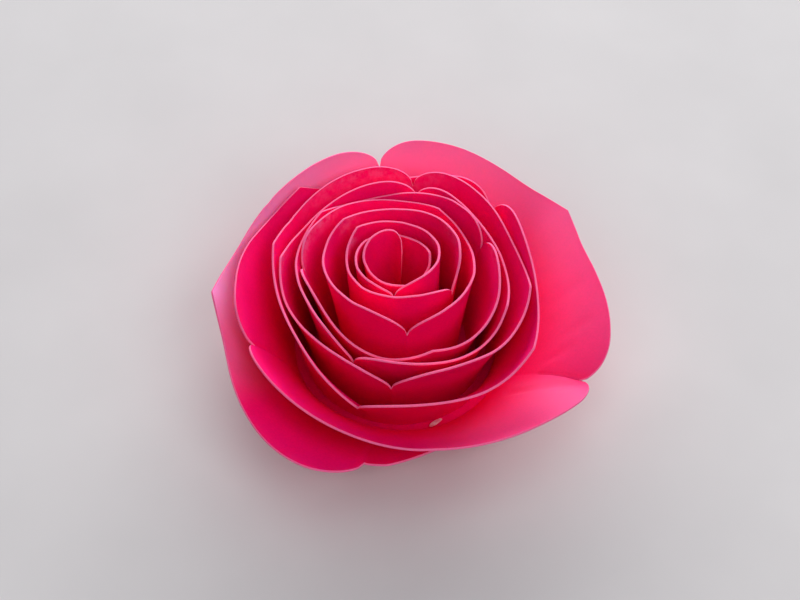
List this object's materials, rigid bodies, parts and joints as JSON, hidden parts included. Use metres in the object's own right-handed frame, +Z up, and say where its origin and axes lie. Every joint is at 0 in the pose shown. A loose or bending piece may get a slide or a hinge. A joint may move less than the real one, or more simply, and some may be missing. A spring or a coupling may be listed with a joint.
{
  "type": "paper flower",
  "caption": "Rolled paper rose: a spiral strip of pink cardstock with scalloped, pointed petals, coiled upright on its own flat round base disc.",
  "frame": {"origin": "middle of the base disc's underside", "axes": "+Z up out of the flower, -Y towards the side that faces the camera in the picture, +X to its right"},
  "size_m": [0.0618, 0.0607, 0.0219],
  "materials": {
    "cardstock": "matte pink cardstock",
    "glue": "glossy dried craft glue"
  },
  "bodies": {
    "root": {"paper_rose": "cardstock", "glue": "glue"}
  },
  "joints": []
}
